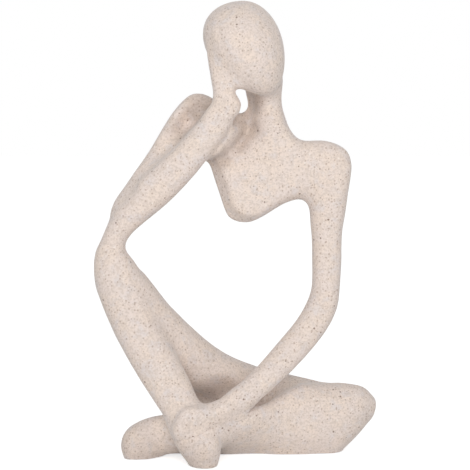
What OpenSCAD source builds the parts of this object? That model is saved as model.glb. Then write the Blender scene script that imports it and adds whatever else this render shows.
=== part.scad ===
// Seated thinking figure: a stone effect ornament, cast in sections and bonded on dowels.
// It sits on the plane z = 0 and looks along -Y. Right and left are the figure's own, so
// its right side lies at -X. Sizes are in millimetres.

/* [Head] */
// Height of the head, chin to crown
head_h = 52; // [47:0.5:55]
// Width of the head
head_w = 44; // [40:0.5:49]
// Depth of the head, face to back
head_d = 46; // [40:0.5:50]
// How far the chin swings to the figure's left of the crown
head_lean = 12.5; // [8:0.5:14]
// How far the chin comes forward of the crown
head_nod = 11; // [6:0.5:14]
// How far the cheek bows out towards the resting hand
head_bow = 6; // [3:0.5:8]

/* [Neck and chest] */
// Width of the neck at its waist
neck_w = 19.5; // [15:0.5:22]
// Depth of the neck at its waist
neck_d = 19; // [15:0.5:22]
// Height of the chin above the root of the neck, which is midway between the shoulders
neck_l = 30.5; // [28:0.5:36]
// Height of the chest wedge at its tallest section
chest_h = 60; // [54:0.5:64]
// Depth of the chest
chest_d = 28; // [24:0.5:32]
// Height of the right shoulder joint
right_shoulder_h = 183.5; // [180:0.5:187]
// Height of the left shoulder joint
left_shoulder_h = 160.5; // [157:0.5:164]
// Right shoulder joint, out from the middle of the figure
right_shoulder_out = 15; // [11:0.5:17]
// Left shoulder joint, out from the middle of the figure
left_shoulder_out = 43.5; // [41:0.5:48]

/* [Arms] */
// Width of the right upper arm
raised_arm_w = 20; // [17:0.5:22]
// Width of the left upper arm, which hangs straight
hanging_arm_w = 17; // [15:0.5:20]
// Depth of both upper arms
upper_arm_d = 17.5; // [15:0.5:20]
// Width of a forearm
forearm_w = 17; // [15:0.5:20]
// Depth of a forearm
forearm_d = 16; // [14:0.5:18]
// Height of the left elbow joint
left_elbow_h = 85.5; // [82:0.5:89]
// Left elbow joint, out from the middle of the figure
left_elbow_out = 47.5; // [45:0.5:52]
// Width of a hand
hand_w = 14; // [12:0.5:16]
// Thickness of a hand
hand_t = 12.5; // [10:0.5:14]
// Length of the right hand, up the cheek
right_hand_l = 29.5; // [26:0.5:32]
// Length of the left hand, across the ankle
left_hand_l = 31; // [28:0.5:34]

/* [Raised leg] */
// Height of the waist where the right elbow stands on the knee
waist_h = 121.5; // [118:0.5:125]
// The same waist, out from the middle of the figure
waist_out = 69; // [65:0.5:71]
// Width of the raised shin
shin_w = 25; // [22:0.5:28]
// Depth of the raised shin
shin_d = 23; // [20:0.5:26]
// Height of the ankle above the table
ankle_h = 32; // [29:0.5:35]
// Width of the raised foot
foot_w = 24; // [21:0.5:26]
// Length of the raised foot along the table
foot_l = 30; // [27:0.5:33]
// Width of the raised thigh
thigh_w = 24; // [21:0.5:27]
// Depth of the raised thigh
thigh_d = 27; // [24:0.5:30]

/* [Folded leg] */
// Height of the seat
seat_h = 43.5; // [40:0.5:46]
// Depth of the seat
seat_d = 33; // [29:0.5:36]
// Height of the folded shin at its middle
folded_shin_h = 22; // [20:0.5:25]
// Depth of the folded shin at its middle
folded_shin_d = 21; // [19:0.5:25]
// Reach of the folded knee, out from the middle of the figure
folded_knee_out = 80.5; // [75:0.5:82]
// Reach of the folded foot, out from the middle of the figure
folded_foot_out = 66; // [61:0.5:68]

/* [Dowels and pads] */
// Diameter of a dowel
dowel_d = 4; // [3:0.5:5]
// Length of a dowel
dowel_l = 14; // [12:0.5:16]
// Room round a dowel or a pad for the adhesive
glue_gap = 0.1; // [0.05:0.05:0.2]
// Diameter of a base pad
pad_d = 7; // [6:0.5:9]
// Thickness of a base pad
pad_t = 1.2; // [0.8:0.1:1.5]
// How far the pads hold the flat base off the table
base_lift = 0.5; // [0.3:0.1:0.7]

/* [Hidden] */

stone = "#e3d8cd";
steel = "#b9bcc0";
felt = "#8d8780";

// Reach of the blunt end of the folded knee, of its half depth
blunt_share = 0.5;

// How far a cut runs past what it cuts
overrun = 30;
// How far the resting forms would run on below the flat base
base_sink = 1.2;

// Points round a section, steps from one section to the next, steps over a rounded end,
// and sections up the head
ring_sides = 16;
ring_steps = 2;
end_steps = 3;
head_steps = 14;
// Angles at which a rounded end stops, and at which the head starts and stops, with a small flat
end_angle = 85;
pole_angle = 4;

// Places behind or before the middle plane of the figure
crown_back = 5.5;
neck_back = 8.5;
shoulder_back = 11.5;
left_shoulder_back = 6.5;
left_elbow_fore = 2.5;
waist_fore = 5.5;
ankle_fore = 20.5;
sole_fore = 26.5;
hip_back = 29.5;
folded_knee_back = 8.5;
folded_foot_fore = 9.5;

// Places across the figure, out from its middle
crown_out = 4;
neck_out = 17.5;
neck_top_out = 14.5;
ankle_out = 31;
sole_out = 16.5;
seat_out = 25;
hip_out = 13;

// Height of the neck's root, how far its top runs up into the head, the heights of the folded
// knee and ankle, and how far the raised thigh ends below the top of the seat
neck_root_h = (right_shoulder_h + left_shoulder_h) / 2;
neck_top_rise = 7.5;
folded_knee_h = 19;
folded_ankle_h = 10;
hip_drop = 11.5;

// How far the middles of the folded knee and foot lie inside their ends
knee_inset = 18;
foot_inset = 13;

// Steps from one joint to the next, as [across, back, up]
elbow_from_waist = [5, 5, 15.5];
knee_from_waist = [4, 0, -15.5];
wrist_from_chin = [-22.5, -4, -4];
wrist_from_ankle = [26.5, -4, 1];

// Which way each hand points, of its length
right_hand_aim_share = [-0.29, 0.07, 0.955];
left_hand_aim_share = [-0.92, -0.30, -0.39];

// Joints of the skeleton, as [across, back, up]
chin = [crown_out + head_lean, crown_back - head_nod, neck_root_h + neck_l];
crown = chin + [-head_lean, head_nod, head_h];
neck_root = [neck_out, neck_back, neck_root_h];
neck_top = [neck_top_out, neck_back, chin.z + neck_top_rise];
right_shoulder = [-right_shoulder_out, shoulder_back, right_shoulder_h];
left_shoulder = [left_shoulder_out, left_shoulder_back, left_shoulder_h];
left_elbow = [left_elbow_out, -left_elbow_fore, left_elbow_h];
waist = [-waist_out, -waist_fore, waist_h];
right_elbow = waist + elbow_from_waist;
right_wrist = chin + wrist_from_chin;
right_finger = right_wrist + right_hand_l * right_hand_aim_share;
ankle = [-ankle_out, -ankle_fore, ankle_h];
sole = [-sole_out, -sole_fore, base_lift];
left_wrist = ankle + wrist_from_ankle;
left_finger = left_wrist + left_hand_l * left_hand_aim_share;
raised_knee = waist + knee_from_waist;
seat_section_h = seat_h - base_lift + base_sink;
seat_middle_h = seat_h - seat_section_h / 2;
seat = [-seat_out, hip_back, seat_middle_h];
raised_hip = [hip_out, hip_back, seat_h - hip_drop];
folded_knee = [folded_knee_out - knee_inset, folded_knee_back, folded_knee_h];
folded_foot = [foot_inset - folded_foot_out, -folded_foot_fore, folded_ankle_h];

// Sections of each limb, hand chosen, along its bone from one joint to the next:
// [along the bone, aside of it in widths, back of it in depths, width, depth,
// turn from square to the bone, squareness], and where a front is flat or leans back:
// [share of the half depth at which it is flat, lean of its upper edge in half depths]
raised_arm_shares = [
    [-0.02, 0.10, 0.00, 0.45, 0.55, 36, 2.2],
    [0.08, 0.14, 0.00, 0.66, 0.80, 34, 2.2],
    [0.26, 0.20, 0.10, 0.75, 0.86, 31, 2.2],
    [0.52, 0.31, 0.10, 0.83, 0.97, 7, 2.2],
    [0.68, 0.35, 0.14, 1.22, 1.14, -15, 2.2],
    [0.83, 0.39, 0.15, 1.69, 1.26, -33, 2.3],
    [0.93, 0.26, 0.09, 1.84, 1.36, -40, 2.4],
];
torso_shares = [
    [0.00, 0.00, 0.00, 0.56, 0.86, 16, 2.4],
    [0.11, -0.08, 0.02, 0.69, 0.94, 15, 2.6, 0.90, 0.25],
    [0.22, -0.17, 0.00, 0.83, 1.04, 15, 3.0, 0.80, 0.50],
    [0.31, -0.23, -0.02, 0.96, 1.04, 15, 3.4, 0.76, 0.55],
    [0.40, -0.24, -0.03, 0.98, 1.04, 16, 3.4, 0.76, 0.50],
    [0.50, -0.22, -0.04, 0.95, 1.04, 17, 3.4, 0.76, 0.35],
    [0.61, -0.17, -0.04, 0.83, 1.02, 19, 3.2, 0.78, 0.10],
    [0.75, -0.08, -0.02, 0.67, 0.94, 20, 2.8, 0.84, 0.00],
    [0.90, -0.04, 0.00, 0.54, 0.84, 20, 2.5, 0.92, 0.00],
    [1.00, 0.00, 0.00, 0.59, 0.75, 3, 2.3],
];
hanging_arm_shares = [
    [0.05, 0.40, -0.03, 2.20, 1.15, 52, 2.2],
    [0.13, 0.49, -0.05, 1.96, 1.10, 40, 2.2],
    [0.26, 0.42, -0.04, 1.49, 1.04, 29, 2.2],
    [0.46, 0.30, 0.00, 1.03, 0.98, 1, 2.2],
    [0.67, 0.25, 0.00, 0.98, 0.95, -1, 2.2],
    [0.87, 0.17, 0.00, 0.93, 0.93, -9, 2.2],
    [1.00, 0.02, 0.00, 1.02, 0.92, -18, 2.2],
];
left_forearm_shares = [
    [0.17, 0.23, 0.08, 1.04, 1.00, 24, 2.2],
    [0.41, 0.29, 0.07, 1.04, 0.94, 20, 2.2],
    [0.62, 0.28, 0.03, 0.94, 0.88, 16, 2.2],
    [0.83, 0.20, 0.00, 0.85, 0.81, 1, 2.2],
    [1.00, 0.00, 0.00, 0.82, 0.81, -11, 2.2],
];
left_hand_shares = [
    [0.34, -0.06, -0.05, 1.00, 1.02, 2, 2.2],
    [0.59, -0.14, -0.10, 1.13, 0.96, -1, 2.2],
    [0.80, -0.16, -0.08, 1.03, 0.85, -6, 2.2],
    [0.96, -0.04, 0.00, 0.80, 0.68, -10, 2.2],
];
right_hand_shares = [
    [0.04, 0.00, 0.00, 0.34, 0.42, -26, 2.1],
    [0.18, 0.06, 0.00, 0.61, 0.66, -30, 2.1],
    [0.41, 0.10, -0.04, 0.85, 0.86, -27, 2.1],
    [0.68, 0.09, -0.04, 0.95, 0.96, -26, 2.1],
    [0.92, 0.06, 0.00, 1.04, 1.02, -27, 2.1],
];
right_forearm_shares = [
    [0.12, 0.24, 0.00, 0.84, 0.81, 9, 2.2],
    [0.25, 0.26, 0.00, 0.86, 0.88, 6, 2.2],
    [0.39, 0.25, 0.00, 0.94, 0.92, 11, 2.2],
    [0.51, 0.17, 0.00, 1.06, 0.97, 13, 2.2],
    [0.66, 0.07, 0.00, 1.20, 1.03, 23, 2.2],
    [0.81, -0.05, 0.00, 1.28, 1.06, 34, 2.2],
    [0.93, -0.05, 0.00, 0.94, 0.94, 36, 2.2],
    [1.00, 0.02, 0.00, 0.86, 0.88, 39.5, 2.2],
];
shin_shares = [
    [0.04, -0.12, 0.03, 0.65, 0.76, -23, 2.2],
    [0.10, -0.17, 0.07, 0.85, 0.91, -15, 2.2],
    [0.18, -0.21, 0.12, 1.02, 1.02, -8, 2.2],
    [0.25, -0.25, 0.18, 1.05, 1.04, -3, 2.2],
    [0.50, -0.27, 0.22, 1.02, 1.00, 0, 2.2],
    [0.79, -0.14, 0.16, 0.98, 0.91, 1, 2.2],
    [1.00, 0.00, 0.00, 0.89, 0.87, 3, 2.2],
];
foot_shares = [
    [0.20, 0.02, -0.05, 0.97, 0.73, -2, 2.2],
    [0.43, 0.03, -0.05, 1.02, 0.78, -6, 2.2],
    [0.65, 0.04, -0.09, 1.00, 0.97, -8, 2.2],
    [0.85, 0.02, -0.04, 0.83, 0.92, -8, 2.2],
    [1.00, 0.00, 0.00, 0.56, 0.74, -9, 2.2],
    [1.08, 0.00, 0.00, 0.25, 0.40, -9, 2.2],
];
raised_thigh_shares = [
    [0.01, -0.06, -0.02, 0.55, 0.60, 6, 2.2],
    [0.11, -0.16, -0.05, 0.94, 0.85, 5, 2.2],
    [0.32, -0.37, -0.09, 0.99, 0.94, 3, 2.2],
    [0.58, -0.50, -0.14, 1.13, 1.02, 6, 2.2],
    [0.75, -0.46, -0.14, 1.17, 1.06, 14, 2.2],
    [0.88, -0.30, -0.10, 1.16, 1.08, 30, 2.2],
    [1.00, 0.00, -0.02, 1.00, 0.90, 42, 2.2],
];
folded_thigh_shares = [
    [-0.02, 0.06, 0.02, 0.74, 0.52, -4, 2.3],
    [0.06, 0.04, 0.05, 0.90, 0.68, -2, 2.3],
    [0.17, 0.02, 0.08, 1.00, 0.80, 0, 2.3],
    [0.32, 0.00, 0.13, 1.00, 0.86, 0, 2.3],
    [0.48, 0.00, 0.17, 1.00, 0.94, 0, 2.3],
    [0.65, 0.00, 0.18, 1.00, 0.92, 0, 2.3],
    [0.85, -0.03, 0.16, 0.94, 0.76, 0, 2.3],
    [1.00, 0.00, 0.10, 0.78, 0.56, 0, 2.3],
];
folded_shin_shares = [
    [-0.125, -0.15, 0.00, 0.68, 0.58, -14, 2.2],
    [-0.095, -0.13, 0.00, 1.05, 0.90, -14, 2.2],
    [-0.06, -0.09, 0.00, 1.40, 1.14, -14, 2.2],
    [-0.01, -0.03, 0.00, 1.69, 1.31, -12, 2.2],
    [0.04, -0.01, 0.00, 1.85, 1.39, -10, 2.2],
    [0.12, -0.07, 0.00, 1.88, 1.38, -6, 2.2],
    [0.22, -0.12, 0.00, 1.90, 1.34, -3, 2.2],
    [0.34, 0.01, -0.08, 1.54, 1.24, -3, 2.2, 1.00, 0.40],
    [0.44, 0.03, -0.18, 1.38, 1.24, -3, 2.2, 1.00, 1.05],
    [0.56, 0.05, -0.25, 1.22, 1.28, -3, 2.2, 1.00, 1.35],
    [0.72, 0.02, -0.14, 1.08, 1.16, -4, 2.2, 1.00, 0.80],
    [0.88, -0.08, 0.00, 1.04, 0.98, -4, 2.2, 1.00, 0.15],
    [0.98, -0.02, 0.00, 1.05, 0.94, -4, 2.2],
    [1.03, 0.02, 0.00, 0.95, 0.86, -4, 2.2],
];
neck_shares = [
    [-0.10, -0.36, 0.02, 1.60, 0.90, -6, 2],
    [0.12, -0.28, -0.14, 1.25, 1.04, -6, 2.2],
    [0.30, -0.18, -0.15, 0.98, 1.08, -7, 2.3],
    [0.46, -0.07, -0.05, 1.03, 1.06, -7, 2.2],
    [0.64, -0.02, 0.06, 0.97, 1.00, -6, 2],
    [0.82, 0.00, 0.02, 1.04, 1.00, -6, 2],
    [1.00, -0.02, -0.12, 1.14, 0.98, -6, 2],
    [1.20, -0.02, -0.35, 1.10, 0.85, -6, 2],
];

// Shape of the head: fullness of the egg, its chin's width of the mean, and what the crown adds
head_fullness = 1;
head_chin_share = 0.88;
head_crown_share = 0.24;

// One section: its middle, half width, half depth, slope of its width line, squareness,
// share at which its front is flat, and how far its upper edge leans back
function section(from, to, width, depth, row) =
    let (
        bone = to - from,
        heading = atan2(bone.z, bone.x),
        aside = [-sin(heading), 0, cos(heading)],
        middle = from + row[0] * bone + row[1] * width * aside + [0, row[2] * depth, 0]
    )
    [middle.x, middle.y, middle.z, row[3] * width / 2, row[4] * depth / 2,
        heading + 90 + row[5], row[6],
        is_undef(row[7]) ? 1 : row[7], is_undef(row[8]) ? 0 : row[8] * depth / 2];

function sections(from, to, width, depth, rows) =
    [for (row = rows) section(from, to, width, depth, row)];

// The value at share t of the way from b to c on a smooth curve through a, b, c and d
function blend(a, b, c, d, t) =
    0.5 * (2 * b + (c - a) * t + (2 * a - 5 * b + 4 * c - d) * t * t
        + (3 * b - a - 3 * c + d) * t * t * t);

// Sections set closer together along the same smooth line
function refined(rows) =
    let (last = len(rows) - 1)
    [for (i = [0 : last - 1], j = [0 : ring_steps - 1])
        blend(rows[max(i - 1, 0)], rows[i], rows[i + 1], rows[min(i + 2, last)], j / ring_steps),
        rows[last]];

// A stretch of a list, with both of its ends
function stretch(list, first, last) = [for (i = [first : last]) list[i]];

function reversed(list) = [for (i = [len(list) - 1 : -1 : 0]) list[i]];

// Sections that round off an end, out along the line of its last two sections
function rounded_end(rows, reach_share = 1) =
    let (
        last = rows[len(rows) - 1],
        before = rows[len(rows) - 2],
        way = place(last) - place(before),
        reach = reach_share * min(last[3], last[4]) * way / norm(way)
    )
    concat(rows, [for (i = [1 : end_steps])
        let (a = end_angle * i / end_steps, c = place(last) + reach * sin(a))
        [c.x, c.y, c.z, last[3] * cos(a), last[4] * cos(a), last[5], last[6], 1, 0]]);

function place(row) = [row[0], row[1], row[2]];

function signed_power(v, p) = sign(v) * pow(abs(v), p);

// The points round one section
function ring(row) =
    let (across = [row[3] * cos(row[5]), row[8], row[3] * sin(row[5])])
    [for (i = [0 : ring_sides - 1])
        let (a = 360 * i / ring_sides)
        place(row)
            + signed_power(cos(a), 2 / row[6]) * across
            + [0, row[4] * max(-row[7], signed_power(sin(a), 2 / row[6])), 0]];

// A closed solid skinned over a list of sections
module loft(rows) {
    n = ring_sides;
    last = len(rows) - 1;
    points = [for (row = rows) each ring(row)];
    sides = [for (k = [0 : last - 1], i = [0 : n - 1])
        let (a = k * n + i, b = k * n + (i + 1) % n)
        each [[a, b, a + n], [b, b + n, a + n]]];
    polyhedron(points, concat(
        [[for (i = [n - 1 : -1 : 0]) i]], sides, [[for (i = [0 : n - 1]) last * n + i]]));
}

// The right arm, from the fingertips down the forearm, and on down the raised shin to the sole
right_line = refined(concat(
    sections(right_finger, right_wrist, hand_w, hand_t, right_hand_shares),
    sections(right_wrist, waist, forearm_w, forearm_d, right_forearm_shares),
    sections(waist, ankle, shin_w, shin_d, shin_shares),
    sections(ankle, sole, foot_w, foot_l, foot_shares)));
waist_row = ring_steps * (len(right_hand_shares) + len(right_forearm_shares) - 1);

// The right upper arm, the chest, and the whole left arm
left_line = refined(concat(
    sections(right_elbow, right_shoulder, raised_arm_w, upper_arm_d, raised_arm_shares),
    sections(right_shoulder, left_shoulder, chest_h, chest_d, torso_shares),
    sections(left_shoulder, left_elbow, hanging_arm_w, upper_arm_d, hanging_arm_shares),
    sections(left_elbow, left_wrist, forearm_w, forearm_d, left_forearm_shares),
    sections(left_wrist, left_finger, hand_w, hand_t, left_hand_shares)));
right_shoulder_row = ring_steps * len(raised_arm_shares);
left_shoulder_row = right_shoulder_row + ring_steps * (len(torso_shares) - 1);
left_elbow_row = left_shoulder_row + ring_steps * len(hanging_arm_shares);

raised_thigh_line = refined(
    sections(raised_knee, raised_hip, thigh_w, thigh_d, raised_thigh_shares));
folded_thigh_line = refined(
    sections(seat, folded_knee, seat_section_h, seat_d, folded_thigh_shares));
folded_shin_line = refined(
    sections(folded_knee, folded_foot, folded_shin_h, folded_shin_d, folded_shin_shares));
neck_line = refined(sections(neck_root, neck_top, neck_w, neck_d, neck_shares));

// The head is an egg with its narrow end at the chin
head_line = [for (i = [0 : head_steps])
    let (
        a = pole_angle + (180 - 2 * pole_angle) * i / head_steps,
        up = (1 - cos(a)) / 2,
        girth = pow(sin(a), head_fullness) * (head_chin_share + head_crown_share * up),
        c = chin + up * (crown - chin) - [head_bow * sin(a), 0, 0]
    )
    [c.x, c.y, c.z, girth * head_w / 2, girth * head_d / 2, 180, 2, 1, 0]];

// Steps from a joint to the middle of the dowel near it, where no section is shared
neck_top_step = [0, 10, 9];
neck_root_step = [0, 0, 14];
right_elbow_step = [12.5, 0, 11.5];
raised_knee_step = [9, 4, -13];
hip_step = [-21, -5, 8];
folded_knee_step = [-22, 7, -4];
ankle_step = [7, 6.5, -20];

// Which way those dowels point that don't follow a limb
right_elbow_aim_share = [0.5, -0.85, -0.35];
across_depth_share = [0, 1, 0];

// Which way a line of sections runs at one of them
function run_at(rows, i) = place(rows[i + 1]) - place(rows[i - 1]);

// A dowel at a section that two castings share
function dowel_at(rows, i) = [place(rows[i]), run_at(rows, i)];

// Every dowel, as [middle, direction]
neck_top_dowel = [chin + neck_top_step, neck_top - neck_root];
neck_root_dowel = [neck_root + neck_root_step, neck_top - neck_root];
right_shoulder_dowel = dowel_at(left_line, right_shoulder_row);
left_shoulder_dowel = dowel_at(left_line, left_shoulder_row);
left_elbow_dowel = dowel_at(left_line, left_elbow_row);
waist_dowel = dowel_at(right_line, waist_row);
right_elbow_dowel = [right_elbow + right_elbow_step, right_elbow_aim_share];
raised_knee_dowel = [raised_knee + raised_knee_step, raised_hip - raised_knee];
hip_dowel = [raised_hip + hip_step, raised_hip - raised_knee];
folded_knee_dowel = [folded_knee + folded_knee_step, across_depth_share];
ankle_dowel = [ankle + ankle_step, across_depth_share];

// Middles of the pads, each under a section of the casting that stands on it
sole_pad = place(right_line[len(right_line) - 1 - ring_steps]);
shin_pads = [place(folded_shin_line[5 * ring_steps]), place(folded_shin_line[12 * ring_steps])];
seat_pads = [place(folded_thigh_line[2 * ring_steps]), place(folded_thigh_line[5 * ring_steps])];

// The bare form of each casting, before it is cut to seat on its neighbours
module head_form() loft(head_line);
module neck_form() loft(neck_line);
module torso_form() loft(stretch(left_line, right_shoulder_row, left_shoulder_row));
module right_upper_arm_form()
    loft(reversed(rounded_end(reversed(stretch(left_line, 0, right_shoulder_row)))));
module right_forearm_form()
    loft(reversed(rounded_end(reversed(stretch(right_line, 0, waist_row)))));
module left_upper_arm_form() loft(stretch(left_line, left_shoulder_row, left_elbow_row));
module left_forearm_form()
    loft(rounded_end(stretch(left_line, left_elbow_row, len(left_line) - 1)));
module raised_shin_form() loft(stretch(right_line, waist_row, len(right_line) - 1));
module raised_thigh_form() loft(raised_thigh_line);
module folded_thigh_form() loft(reversed(rounded_end(reversed(folded_thigh_line))));
module folded_shin_form()
    loft(reversed(rounded_end(reversed(rounded_end(folded_shin_line)), blunt_share)));

// A round rod with its middle at a dowel's place, along that dowel
module rod(dowel, d, l) {
    aim = dowel[1] / norm(dowel[1]);
    translate(dowel[0])
        rotate([0, acos(aim.z), atan2(aim.y, aim.x)])
            cylinder(d = d, h = l, center = true, $fn = 32);
}

module dowel(dowel) rod(dowel, dowel_d, dowel_l);
module sockets(dowels)
    for (each_dowel = dowels)
        rod(each_dowel, dowel_d + 2 * glue_gap, dowel_l + 2 * glue_gap);

// The space under the flat base, and the shallow pockets for the pads above it
module below_base() {
    reach = 2 * waist_out + overrun;
    translate([-reach, -reach, base_lift - overrun]) cube([2 * reach, 2 * reach, overrun]);
}
module pad_pocket(middle)
    translate([middle.x, middle.y, base_lift - overrun])
        cylinder(d = pad_d + 2 * glue_gap, h = overrun + pad_t - base_lift, $fn = 48);

module head()
    color(stone) difference() {
        head_form();
        sockets([neck_top_dowel]);
    }
module neck()
    color(stone) difference() {
        neck_form();
        head_form();
        torso_form();
        sockets([neck_top_dowel, neck_root_dowel]);
    }
module torso()
    color(stone) difference() {
        torso_form();
        right_forearm_form();
        sockets([neck_root_dowel, right_shoulder_dowel, left_shoulder_dowel]);
    }
module right_upper_arm()
    color(stone) difference() {
        right_upper_arm_form();
        right_forearm_form();
        sockets([right_shoulder_dowel, right_elbow_dowel]);
    }
module right_forearm()
    color(stone) difference() {
        right_forearm_form();
        head_form();
        sockets([right_elbow_dowel, waist_dowel]);
    }
module left_upper_arm()
    color(stone) difference() {
        left_upper_arm_form();
        sockets([left_shoulder_dowel, left_elbow_dowel]);
    }
module left_forearm()
    color(stone) difference() {
        left_forearm_form();
        raised_shin_form();
        sockets([left_elbow_dowel]);
    }
module raised_thigh()
    color(stone) difference() {
        raised_thigh_form();
        raised_shin_form();
        folded_thigh_form();
        sockets([raised_knee_dowel, hip_dowel]);
    }
module raised_shin()
    color(stone) difference() {
        raised_shin_form();
        below_base();
        pad_pocket(sole_pad);
        sockets([waist_dowel, raised_knee_dowel, ankle_dowel]);
    }
module folded_thigh()
    color(stone) difference() {
        folded_thigh_form();
        folded_shin_form();
        below_base();
        for (middle = seat_pads) pad_pocket(middle);
        sockets([hip_dowel, folded_knee_dowel]);
    }
module folded_shin()
    color(stone) difference() {
        folded_shin_form();
        raised_shin_form();
        below_base();
        for (middle = shin_pads) pad_pocket(middle);
        sockets([folded_knee_dowel, ankle_dowel]);
    }
module dowels()
    color(steel) {
        dowel(neck_top_dowel);
        dowel(neck_root_dowel);
        dowel(right_shoulder_dowel);
        dowel(right_elbow_dowel);
        dowel(waist_dowel);
        dowel(left_shoulder_dowel);
        dowel(left_elbow_dowel);
        dowel(raised_knee_dowel);
        dowel(hip_dowel);
        dowel(folded_knee_dowel);
        dowel(ankle_dowel);
    }
module base_pads()
    color(felt)
        for (middle = concat([sole_pad], shin_pads, seat_pads))
            translate([middle.x, middle.y, 0]) cylinder(d = pad_d, h = pad_t, $fn = 48);

head();
neck();
torso();
right_upper_arm();
right_forearm();
left_upper_arm();
left_forearm();
raised_thigh();
raised_shin();
folded_thigh();
folded_shin();
dowels();
base_pads();
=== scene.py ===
import math

import bmesh
import bpy
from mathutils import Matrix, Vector
from mathutils.geometry import intersect_point_line


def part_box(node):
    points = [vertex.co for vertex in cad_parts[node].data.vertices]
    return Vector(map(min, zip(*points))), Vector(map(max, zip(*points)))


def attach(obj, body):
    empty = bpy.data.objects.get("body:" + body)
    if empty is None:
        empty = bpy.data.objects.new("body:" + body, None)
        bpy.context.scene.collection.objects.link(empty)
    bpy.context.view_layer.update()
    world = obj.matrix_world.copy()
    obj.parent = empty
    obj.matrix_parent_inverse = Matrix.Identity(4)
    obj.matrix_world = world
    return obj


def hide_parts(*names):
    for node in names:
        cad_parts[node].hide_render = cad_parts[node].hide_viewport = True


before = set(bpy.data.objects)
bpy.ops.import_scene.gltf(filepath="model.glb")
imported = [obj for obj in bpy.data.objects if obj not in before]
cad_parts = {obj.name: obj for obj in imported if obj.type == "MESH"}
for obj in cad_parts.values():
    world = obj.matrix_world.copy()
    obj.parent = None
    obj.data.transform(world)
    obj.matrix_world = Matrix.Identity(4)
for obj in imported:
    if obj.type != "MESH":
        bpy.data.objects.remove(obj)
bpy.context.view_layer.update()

mm = 0.001

# The figure's whole form. The real one comes out of its mould as separate castings of stone
# filled resin, which are bonded, rubbed down and coated, so no joint shows and every crease
# between two limbs is a soft fillet. It is made here from copies of the castings.
grain = 0.8 * mm
weld = 0.001 * mm
base_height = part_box("folded_shin")[0].z
base_margin = 0.01 * mm
base_sink = 3 * mm


def merged_copy(node):
    """The mesh of a node's solids, with its loose triangles joined."""
    shape = bmesh.new()
    shape.from_mesh(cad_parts[node].data)
    bmesh.ops.remove_doubles(shape, verts=shape.verts, dist=weld)
    mesh = bpy.data.meshes.new(node + "_copy")
    shape.to_mesh(mesh)
    shape.free()
    return mesh


def sunk_copy(node):
    """A copy that runs on below the flat base, whose edge then stays crisp in the rounding."""
    mesh = merged_copy(node)
    for vertex in mesh.vertices:
        if vertex.co.z < base_height + base_margin:
            vertex.co.z = base_height - base_sink
    return mesh


def all_solids():
    """One mesh that holds a copy of every solid, pins and pads too, which fill their holes."""
    shape = bmesh.new()
    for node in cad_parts:
        copy = sunk_copy(node)
        shape.from_mesh(copy)
        bpy.data.meshes.remove(copy)
    mesh = bpy.data.meshes.new("figure")
    shape.to_mesh(mesh)
    shape.free()
    return mesh


def piece(name, data):
    made = bpy.data.objects.new(name, data)
    bpy.context.scene.collection.objects.link(made)
    return made


def finished(made, *steps):
    """Puts modifiers on a piece, one (kind, settings) pair after another, and applies them."""
    for kind, settings in steps:
        step = made.modifiers.new(kind, kind)
        for setting, value in settings.items():
            setattr(step, setting, value)
    ready = made.evaluated_get(bpy.context.evaluated_depsgraph_get())
    mesh = bpy.data.meshes.new_from_object(ready)
    made.modifiers.clear()
    made.data = mesh
    return made


def remeshed(size=grain):
    return ("REMESH", {"mode": "VOXEL", "voxel_size": size, "use_smooth_shade": True})


def smoothed(times, group=""):
    return ("SMOOTH", {"factor": 0.5, "iterations": times, "vertex_group": group})


def grown(by):
    return ("DISPLACE", {"mid_level": 0, "strength": by})


def smooth_step(share):
    """A soft rise from 0, for a share of 0 or less, to 1, for a share of 1 or more."""
    share = min(max(share, 0), 1)
    return share * share * (3 - 2 * share)


def distance(line, vertex):
    """The distance of a vertex to a line of places, in millimetres and seen from the front."""
    spot = Vector((vertex.co.x, vertex.co.z)) / mm
    gaps = []
    for start, end in zip(line, line[1:]):
        start, end = Vector(start), Vector(end)
        share = intersect_point_line(spot, start, end)[1]
        gaps.append((spot - start.lerp(end, min(max(share, 0), 1))).length)
    return min(gaps)


# The lower edges of the chest, which have a slanting side: their outline and where the chest's
# front lies, seen from the front and from the side, in millimetres
chest_edge = [
    (-16.7, 171.5), (-15.1, 165.9), (-11.1, 154.6), (-8.3, 144.5), (-5.5, 137.7), (-1.6, 133.2),
    (6.9, 130.6), (13.1, 132.3), (18.7, 135.7), (30.0, 141.9), (36.8, 144.5),
]
chest_tip, chest_top, chest_left = 124, 174, 38
foremost, hindmost = -10, 6
chest_front = -4
chest_swell, swell_top, swell_height = 3.5, 156, 18
bevel_width = 5.5
bevel_slope = 1.6
bevel_fade, bevel_side_fade = 6, 8


def bevelled(made):
    """Cuts a slanting side along the chest's lower edges, by pressing their front back."""
    for vertex in made.data.vertices:
        x, depth, z = vertex.co / mm
        if x < chest_left and chest_tip < z < chest_top and foremost < depth < hindmost:
            front = chest_front - chest_swell * smooth_step((swell_top - z) / swell_height)
            back = front + (bevel_width - distance(chest_edge, vertex)) * bevel_slope
            if back > depth:
                share = smooth_step((chest_top - z) / bevel_fade)
                share *= smooth_step((chest_left - x) / bevel_side_fade)
                vertex.co.y += (back - depth) * share * mm


# Broad fillets, as [middle, full within, none beyond, share]
broad_radius = 10 * mm
broad_fillets = [
    # the hand into the cheek, and the forearm into the neck and the chest
    ((-6, -16, 218), 8, 18, 1.0),
    ((-4, -3, 182), 5, 13, 1.0),
    ((-9, -4, 173), 5, 11, 1.0),
    # the left forearm into the folded leg, and the folded thigh into its shin
    ((-4, -20, 24), 8, 18, 1.0),
    ((30, 0, 36), 8, 18, 1.0),
    ((45, 8, 40), 10, 20, 1.0),
    # the raised knee, and the raised thigh into the shin
    ((-62, -4, 146), 8, 22, 1.0),
    ((-38, -12, 80), 8, 24, 1.0),
    # none at the small opening between wrist and neck
    ((3.5, -5, 199), 5, 10, 0.0),
]
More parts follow.
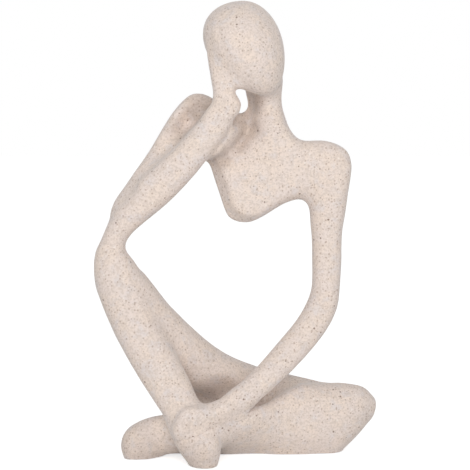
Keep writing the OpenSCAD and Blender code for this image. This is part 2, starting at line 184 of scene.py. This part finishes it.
# Close fillets fill every other crease, and hardly any of the small opening, of the crease under
# the hand on the ankle and of the pocket between forearm and chest
close_radius = 4 * mm
close_fillets = [
    ((3.5, -5, 199), 7, 14, 0.1),
    ((-24, -36, 24), 10, 18, 0.1),
    ((-16, 0, 166), 4, 10, 0.2),
]
# How many times the form is smoothed: at first, after each remesh and where it is swollen
first_smoothing = 12
voxel_smoothing = 4
swollen_smoothing = 6


def weigh(made, group, dabs, ground):
    """A vertex group that is ground all over, and goes smoothly to each dab's share near it."""
    group = made.vertex_groups.new(name=group)
    dabs = [(Vector(middle) * mm, near * mm, far * mm, share) for middle, near, far, share in dabs]
    for vertex in made.data.vertices:
        weight = ground
        for middle, near, far, share in dabs:
            step = (far - (vertex.co - middle).length) / (far - near)
            if step > 0:
                weight += (share - weight) * smooth_step(step)
        group.add([vertex.index], weight, "REPLACE")


def filleted(made, radius, dabs, ground):
    """Rounds the creases to a radius, by the dabs' shares: a copy is grown, joined up and shrunk
    back, which fills them, and the form's own surface is drawn onto it."""
    weigh(made, "fillet", dabs, ground)
    filled = piece("filled", made.data.copy())
    finished(
        filled,
        grown(radius),
        remeshed(),
        smoothed(swollen_smoothing),
        grown(-radius),
        remeshed(),
        smoothed(voxel_smoothing),
    )
    drawn = ("SHRINKWRAP", {"target": filled, "vertex_group": "fillet"})
    finished(made, drawn, remeshed(), smoothed(voxel_smoothing))
    bpy.data.objects.remove(filled)
    made.vertex_groups.clear()


# Soft pushes of the form, as [line seen from the front, push, reach, from and to which depth]
pushes = [
    # the web between forearm and neck, and the valley beside it
    ([(-1, 190), (-1, 183), (-5, 175), (-9, 171.5)], (0, -3, 0), 6, (-10, 14)),
    ([(8.5, 199), (8.7, 191), (7, 183), (0.5, 175), (-11, 168)], (0, 2.5, 0), 10, (-8, 16)),
    ([(7.5, 199), (8, 191), (7, 183), (0.5, 175), (-9, 169)], (0, 2.5, 0), 4.5, (-8, 16)),
    ([(6.7, 201), (7, 192)], (0, 4, 0), 5, (-10, 17)),
    # the flank of the forearm
    (
        [(-52, 156), (-40, 165.5), (-29.6, 175), (-23.4, 183), (-18, 191)],
        (-2.0, 0, 1.9), 10, (-20, 4),
    ),
    # the upper arm, where it turns in behind the forearm, and the top of its shoulder
    ([(-15, 204), (-19, 193), (-25, 187)], (0, 6, 0), 13, (-5, 20)),
    ([(-27, 186), (-36, 178), (-44, 170)], (0, 4, 0), 11, (-5, 18)),
    ([(-24, 203), (-20, 204)], (0, 0, 1.2), 11, (-6, 30)),
    # the sides of the small opening
    ([(-1.5, 194), (-1, 197)], (2.2, 0, 0), 5, (-24, 14)),
    ([(0.5, 204), (0.5, 206)], (-1.2, 0, 0), 4, (-24, 14)),
    # the corner of the lap, and the crest of the left forearm before it
    ([(-22, 26), (-9, 31)], (0, 9, 0), 15, (-12, 38)),
    ([(-23, 38), (-10, 37)], (0, 0, -1.8), 9, (-36, -8)),
    # the top of the folded thigh
    ([(35.2, 42.3), (46.5, 39.6)], (0, 0, -1.3), 12, (-20, 60)),
]
least_fade = 4


def pushed(made, line, push, reach, depths):
    """Moves what lies near a line, less and less out to the reach. A push in depth fades over
    twice its length on the side that it goes to, so that the surface never folds."""
    fade = max(least_fade, 2 * abs(push[1]))
    front_fade, back_fade = (fade, least_fade) if push[1] < 0 else (least_fade, fade)
    left, right = min(x for x, z in line) - reach, max(x for x, z in line) + reach
    low, high = min(z for x, z in line) - reach, max(z for x, z in line) + reach
    for vertex in made.data.vertices:
        x, depth, z = vertex.co / mm
        if left < x < right and low < z < high and depths[0] < depth < depths[1]:
            share = smooth_step(1 - distance(line, vertex) / reach)
            share *= smooth_step((depth - depths[0]) / front_fade)
            share *= smooth_step((depths[1] - depth) / back_fade)
            vertex.co += Vector(push) * mm * share


# The lower edge of the left hand, seen from the front. Ankle and foot lie back below it, by a
# step and a little more the lower they are, and the step fades out at both ends and in depth.
hand_edge = [
    (-37.5, 14.0), (-33.2, 15.4), (-27.2, 17.6), (-21.7, 19.3), (-16.3, 21.8), (-10.8, 24.5),
    (-5.9, 27.3),
]
hand_depth = -20
hand_step, step_growth = 1.3, 0.03
step_height, step_depth, right_fade, left_fade = 1.2, 5, 4, 14


def set_back(made):
    """Sets the ankle and foot back below the lower edge of the hand."""
    for vertex in made.data.vertices:
        x, depth, z = vertex.co / mm
        for (left, left_z), (right, right_z) in zip(hand_edge, hand_edge[1:]):
            if left <= x < right and depth < hand_depth:
                below = left_z + (right_z - left_z) * (x - left) / (right - left) - z
                share = smooth_step(below / step_height)
                share *= smooth_step((hand_depth - depth) / step_depth)
                share *= smooth_step((x - hand_edge[0][0]) / right_fade)
                share *= smooth_step((hand_edge[-1][0] - x) / left_fade)
                vertex.co.y += (hand_step + step_growth * below) * share * mm


# Blends that are softer still, as [middle, full within, none beyond, share]
blend_smoothing = 60
soft_blends = [
    # the pocket over the folded shin, and the foot into the folded shin
    ((28, 2, 34), 7, 18, 1.0),
    ((45, 6, 42), 6, 16, 1.0),
    ((-7, -24, 24), 5, 12, 1.0),
    # the right elbow, the raised thigh into the shin, and the hand into the cheek
    ((-66, -4, 146), 7, 20, 1.0),
    ((-38, -12, 80), 8, 24, 1.0),
    ((-9, -16, 217), 6, 14, 1.0),
    # the web and the valley between forearm and neck
    ((5, 1, 188), 7, 13, 0.6),
    ((-1, -6, 185), 4, 9, 0.8),
    ((-3, -3, 177), 8, 14, 0.6),
    # the upper arm along the back of the forearm
    ((-20, -2, 193), 7, 15, 0.4),
    ((-32, -3, 178), 7, 15, 0.5),
    ((-45, -4, 165), 7, 15, 0.6),
]
coat_thickness = 0.15 * mm

figure = finished(piece("figure", all_solids()), remeshed(), smoothed(first_smoothing))
bevelled(figure)
finished(figure, remeshed(), smoothed(voxel_smoothing))
filleted(figure, close_radius, close_fillets, 1)
filleted(figure, broad_radius, broad_fillets, 0)
for push in pushes:
    pushed(figure, *push)
set_back(figure)
weigh(figure, "blend", soft_blends, 0)
finished(figure, smoothed(blend_smoothing, "blend"))
figure.vertex_groups.clear()
finished(figure, grown(coat_thickness))

shape = bmesh.new()
shape.from_mesh(figure.data)
cut = bmesh.ops.bisect_plane(
    shape,
    geom=[*shape.verts, *shape.edges, *shape.faces],
    plane_co=(0, 0, base_height),
    plane_no=(0, 0, 1),
    clear_inner=True,
)
rim = [edge for edge in cut["geom_cut"] if isinstance(edge, bmesh.types.BMEdge)]
bmesh.ops.triangle_fill(shape, use_beauty=True, edges=rim, normal=(0, 0, -1))
for edge in rim:
    edge.smooth = False
shape.to_mesh(figure.data)
shape.free()

# The eleven castings, of resin filled with stone, glued and pinned to each other. Each takes its
# share of the form: all that lies within reach of it and not in a casting that comes later in
# this list, on which it is coped. So they meet face to face at the joints.
coped = (
    "neck", "right_upper_arm", "raised_thigh", "folded_thigh", "left_forearm", "folded_shin",
    "left_upper_arm", "torso", "right_forearm", "head", "raised_shin",
)
share_reach = 6 * mm
core_growth = 0.35 * mm
largest_hole = 2.5 * mm
glue_gap = 0.1 * mm
corner = math.sqrt(2)
sharp_edge = math.radians(40)


def carved(operation, other):
    return ("BOOLEAN", {"operation": operation, "solver": "MANIFOLD", "object": other})


def near(node, other):
    (low, high), (other_low, other_high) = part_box(node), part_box(other)
    return all(
        low[i] - share_reach < other_high[i] and other_low[i] - share_reach < high[i]
        for i in range(3)
    )


def core(node):
    """A casting's solid form, a little larger all round, with its dowel holes closed."""
    return finished(
        piece("core", sunk_copy(node)),
        remeshed(),
        grown(largest_hole),
        remeshed(),
        grown(core_growth - largest_hole),
        remeshed(),
    )


def whole(made):
    """Takes off the crumbs that a cut leaves."""
    shape = bmesh.new()
    shape.from_mesh(made.data)
    parts = []
    loose = set(shape.verts)
    while loose:
        part, edge = set(), {loose.pop()}
        while edge:
            part |= edge
            edge = {link.other_vert(vert) for vert in edge for link in vert.link_edges} - part
        loose -= part
        parts.append(part)
    body = max(parts, key=len)
    crumbs = [vert for vert in shape.verts if vert not in body]
    bmesh.ops.delete(shape, geom=crumbs, context="VERTS")
    shape.to_mesh(made.data)
    shape.free()


cores = {node: core(node) for node in coped}
fits = piece("fits", merged_copy("dowels"))
pockets = piece("pockets", merged_copy("base_pads"))
for hole in (fits, pockets):
    finished(hole, grown(glue_gap * corner))

left = figure
castings = []
for i, node in enumerate(coped[:-1]):
    share = piece("share", cores[node].data.copy())
    finished(share, grown(share_reach), remeshed(2 * grain))
    for other in coped[i + 1:]:
        if near(node, other):
            finished(share, carved("DIFFERENCE", cores[other]))
    casting = piece(node + "_casting", left.data.copy())
    finished(casting, carved("INTERSECT", share))
    finished(left, carved("DIFFERENCE", share))
    bpy.data.objects.remove(share)
    castings.append(casting)
left.name = coped[-1] + "_casting"
castings.append(left)
for casting, node in zip(castings, coped):
    finished(casting, carved("DIFFERENCE", fits), carved("DIFFERENCE", pockets))
    whole(casting)
    casting.data.set_sharp_from_angle(angle=sharp_edge)
    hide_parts(node)
    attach(casting, "root")
for spent in (fits, pockets, *cores.values()):
    bpy.data.objects.remove(spent)

# The coat of the castings: a sprayed sandstone effect, matte and cream coloured, with grains of
# grey, brown and nearly black stone under a millimetre across and cloudy warm and cool patches.
# Shade is also painted into the coat in its creases and hollows.


class Wire:
    """A socket's value, for sums written as Python expressions."""

    def __init__(self, finish, socket):
        self.finish = finish
        self.socket = socket

    def sum(self, operation, first, second):
        return self.finish.node("ShaderNodeMath", {"operation": operation}, {0: first, 1: second})

    def __add__(self, other):
        return self.sum("ADD", self, other)

    def __sub__(self, other):
        return self.sum("SUBTRACT", self, other)

    def __rsub__(self, other):
        return self.sum("SUBTRACT", other, self)

    def __mul__(self, other):
        return self.sum("MULTIPLY", self, other)

    __radd__ = __add__
    __rmul__ = __mul__


class Finish:
    """The nodes of a material, with one method that adds any node."""

    def __init__(self, owner, shader):
        owner.use_nodes = True
        self.owner = owner
        self.tree = owner.node_tree
        self.shader = self.tree.nodes[shader]

    def node(self, kind, settings=None, sockets=None, output=0):
        made = self.tree.nodes.new(kind)
        for setting, value in (settings or {}).items():
            setattr(made, setting, value)
        self.feed(made, sockets or {})
        return Wire(self, made.outputs[output])

    def feed(self, made, sockets):
        for socket, value in sockets.items():
            if isinstance(value, Wire):
                self.tree.links.new(value.socket, made.inputs[socket])
            else:
                made.inputs[socket].default_value = value

    def clamped(self, value):
        return self.node("ShaderNodeClamp", None, {"Value": value})

    def coordinates(self):
        return self.node("ShaderNodeTexCoord", output="Object")

    def noise(self, place, size, detail=2.0):
        return self.node(
            "ShaderNodeTexNoise", None, {"Vector": place, "Scale": 1 / size, "Detail": detail}
        )

    def ramp(self, value, low, high):
        """0 below low, 1 above high, and a soft step between."""
        return self.node(
            "ShaderNodeMapRange",
            {"interpolation_type": "SMOOTHSTEP"},
            {"Value": value, "From Min": low, "From Max": high},
        )

    def tint(self, share, under, over, blend="MIX"):
        """The colour under, covered by the colour over, or multiplied by it, where share is 1."""
        return self.node(
            "ShaderNodeMix",
            {"data_type": "RGBA", "blend_type": blend},
            {0: share, 6: under, 7: over},
            output=2,
        )

    def relief(self, strength, depth, height):
        return self.node(
            "ShaderNodeBump", None, {"Strength": strength, "Distance": depth, "Height": height}
        )


def colour(*channels):
    """A colour as a screen shows it, from 0 to 255, made linear."""
    shown = [channel / 255 for channel in channels]
    return (*(v / 12.92 if v <= 0.04045 else ((v + 0.055) / 1.055) ** 2.4 for v in shown), 1)


def specks(finish, place, spacing, smallest, largest):
    """1 inside round grains that lie about a spacing apart, each of its own size."""
    cell = {"Vector": place, "Scale": 1 / spacing, "Randomness": 1.0}
    gap = finish.node("ShaderNodeTexVoronoi", None, cell, output="Distance")
    lot = finish.node("ShaderNodeTexVoronoi", None, cell, output="Color")
    lot = finish.node("ShaderNodeSeparateColor", None, {"Color": lot})
    size = lot * ((largest - smallest) / spacing) + smallest / spacing
    return finish.ramp(size - gap, 0.0, 0.06)


coat_ground = (229, 215, 207)
# Patches, as [size, detail, from and to which value, share, colour]
patches = [
    (9, 2.0, 0.38, 0.66, 1.0, (232, 216, 204)),
    (6.3, 3.0, 0.50, 0.72, 0.6, (218, 211, 211)),
    (2.4, 3.0, 0.48, 0.70, 0.5, (212, 197, 185)),
    (1.1, 2.0, 0.42, 0.66, 0.6, (203, 188, 177)),
]
# Grains of stone, as [spacing, smallest, largest, share, colour]. A grain smaller than nothing is
# left out, so that the largest ones lie far apart.
stones = [
    (1.6, 0.0, 0.62, 0.5, (161, 136, 118)),
    (3.9, -0.3, 0.70, 0.8, (119, 94, 80)),
    (2.7, -0.3, 0.70, 0.35, (246, 240, 234)),
]
# Painted shade: in the creases and hollows where shade falls, the coat is darkened towards a
# brown, as [middle, full within, none beyond, share]
painted_shade_colour = (0.4, 0.34, 0.3, 1)
painted_shade_dabs = [
    # the neck, and the valley down to the armpit
    ((8, 2, 198), 4, 10, 0.45),
    ((7, 3, 184), 3, 9, 0.33),
    ((1, 3, 176), 3, 9, 0.33),
    ((-9, -2, 168), 3, 10, 0.42),
    # the upper arm behind the forearm, and the chin by the hand
    ((-20, 2, 194), 5, 14, 0.42),
    ((-31, 1, 183), 4, 12, 0.28),
    ((0, -9, 210), 1, 6, 0.3),
    # the corner of the lap, and both feet
    ((-20, 18, 31), 5, 16, 0.3),
    ((-24, -38, 4), 8, 15, 0.2),
    ((-55, -18, 6), 8, 20, 0.17),
]
sandstone = Finish(bpy.data.materials.new("sandstone_coat"), "Principled BSDF")
place = sandstone.coordinates()
coat = colour(*coat_ground)
for size, detail, low, high, share, over in patches:
    cloud = sandstone.ramp(sandstone.noise(place, size * mm, detail), low, high)
    coat = sandstone.tint(cloud * share, coat, colour(*over))
for spacing, smallest, largest, share, over in stones:
    stone = specks(sandstone, place, spacing * mm, smallest * mm, largest * mm)
    coat = sandstone.tint(stone * share, coat, colour(*over))
# Painted shade: the coat is multiplied towards the brown near each dab, in creases and hollows
for middle, full, none, share in painted_shade_dabs:
    gap = sandstone.node(
        "ShaderNodeVectorMath",
        {"operation": "DISTANCE"},
        {0: place, 1: Vector(middle) * mm},
        output="Value",
    )
    painted_shade_mask = sandstone.ramp(none * mm - gap, 0.0, (none - full) * mm)
    coat = sandstone.tint(painted_shade_mask * share, coat, painted_shade_colour, blend="MULTIPLY")
sandstone.feed(
    sandstone.shader,
    {
        "Base Color": coat,
        "Roughness": sandstone.noise(place, 1.1 * mm) * 0.15 + 0.78,
        "Specular IOR Level": 0.3,
        "Sheen Weight": 0.35,
        "Normal": sandstone.relief(0.35, 0.12 * mm, sandstone.noise(place, 0.7 * mm, 4.0)),
    },
)
for casting in castings:
    casting.data.materials.clear()
    casting.data.materials.append(sandstone.owner)

# The dowels: ground steel rod, cut to one length and bonded into a hole in each of two castings.
# They are hidden in the castings.
steel = Finish(bpy.data.materials.new("dowel_steel"), "Principled BSDF")
place = steel.coordinates()
steel.feed(
    steel.shader,
    {
        "Base Color": steel.tint(
            steel.noise(place, 3 * mm), colour(176, 179, 184), colour(196, 198, 201)
        ),
        "Metallic": 1.0,
        "Roughness": steel.noise(place, 0.4 * mm, 4.0) * 0.2 + 0.3,
    },
)
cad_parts["dowels"].material_slots[0].material = steel.owner

# The base pads: discs punched from wool felt, stuck into shallow pockets under the base. They
# hold the figure off the table.
felt = Finish(bpy.data.materials.new("felt"), "Principled BSDF")
fibres = felt.noise(felt.coordinates(), 0.25 * mm, 6.0)
felt.feed(
    felt.shader,
    {
        "Base Color": felt.tint(
            felt.ramp(fibres, 0.35, 0.65), colour(126, 120, 113), colour(160, 154, 147)
        ),
        "Roughness": 1.0,
        "Specular IOR Level": 0.1,
        "Sheen Weight": 0.4,
        "Normal": felt.relief(0.8, 0.15 * mm, fibres),
    },
)
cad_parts["base_pads"].material_slots[0].material = felt.owner

# The studio: a pale floor that the figure stands on, a plain white room around it and a broad
# soft light in front of it.
floor_side = 6.0
floor_glow = 0.66
room_light = 0.5
floor_shape = bmesh.new()
bmesh.ops.create_grid(floor_shape, x_segments=1, y_segments=1, size=floor_side / 2)
floor_mesh = bpy.data.meshes.new("floor")
floor_shape.to_mesh(floor_mesh)
floor_shape.free()
floor = piece("floor", floor_mesh)


def in_view(finish):
    """1 for what the camera sees, straight, in a gloss or through glass."""
    rays = ("Is Camera Ray", "Is Glossy Ray", "Is Transmission Ray")
    camera, gloss, glass = (finish.node("ShaderNodeLightPath", output=ray) for ray in rays)
    return finish.clamped(camera + gloss + glass)


paper = Finish(bpy.data.materials.new("floor_paper"), "Principled BSDF")
paper.feed(
    paper.shader,
    {
        "Base Color": (0.8, 0.8, 0.8, 1),
        "Roughness": 0.9,
        "Specular IOR Level": 0.0,
        "Emission Color": (1, 1, 1, 1),
        "Emission Strength": in_view(paper) * floor_glow,
    },
)
floor.data.materials.append(paper.owner)

room = Finish(bpy.data.worlds.new("studio_room"), "Background")
room.feed(
    room.shader,
    {"Color": (1, 1, 1, 1), "Strength": in_view(room) * (1 - room_light) + room_light},
)
bpy.context.scene.world = room.owner


def aimed(made, place, direction):
    made.location = place
    made.rotation_euler = direction.to_track_quat("-Z", "Y").to_euler()


lamp_place = Vector((0.02, -1.3, 0.5))
lamp_aim = Vector((0, 0, 0.12))
lamp = bpy.data.lights.new("front_light", "AREA")
lamp.shape = "SQUARE"
lamp.size = 1.1
lamp.energy = 11.6
aimed(piece("front_light", lamp), lamp_place, lamp_aim - lamp_place)

# The camera stands where the photograph's did: well back, about level with the head, and looking
# slightly down.
view_distance = 0.9
view_elevation = math.radians(6)
view_aim = Vector((-0.001, 0.0035, 0.12415))
focal_pixels = 1604
frame_pixels = 470
sensor = 36
optics = bpy.data.cameras.new("camera")
optics.sensor_width = sensor
optics.lens = focal_pixels / frame_pixels * sensor
camera = piece("camera", optics)
back = Vector((0, -math.cos(view_elevation), math.sin(view_elevation)))
aimed(camera, view_aim + view_distance * back, -back)
bpy.context.scene.camera = camera
bpy.context.scene.view_settings.view_transform = "Standard"
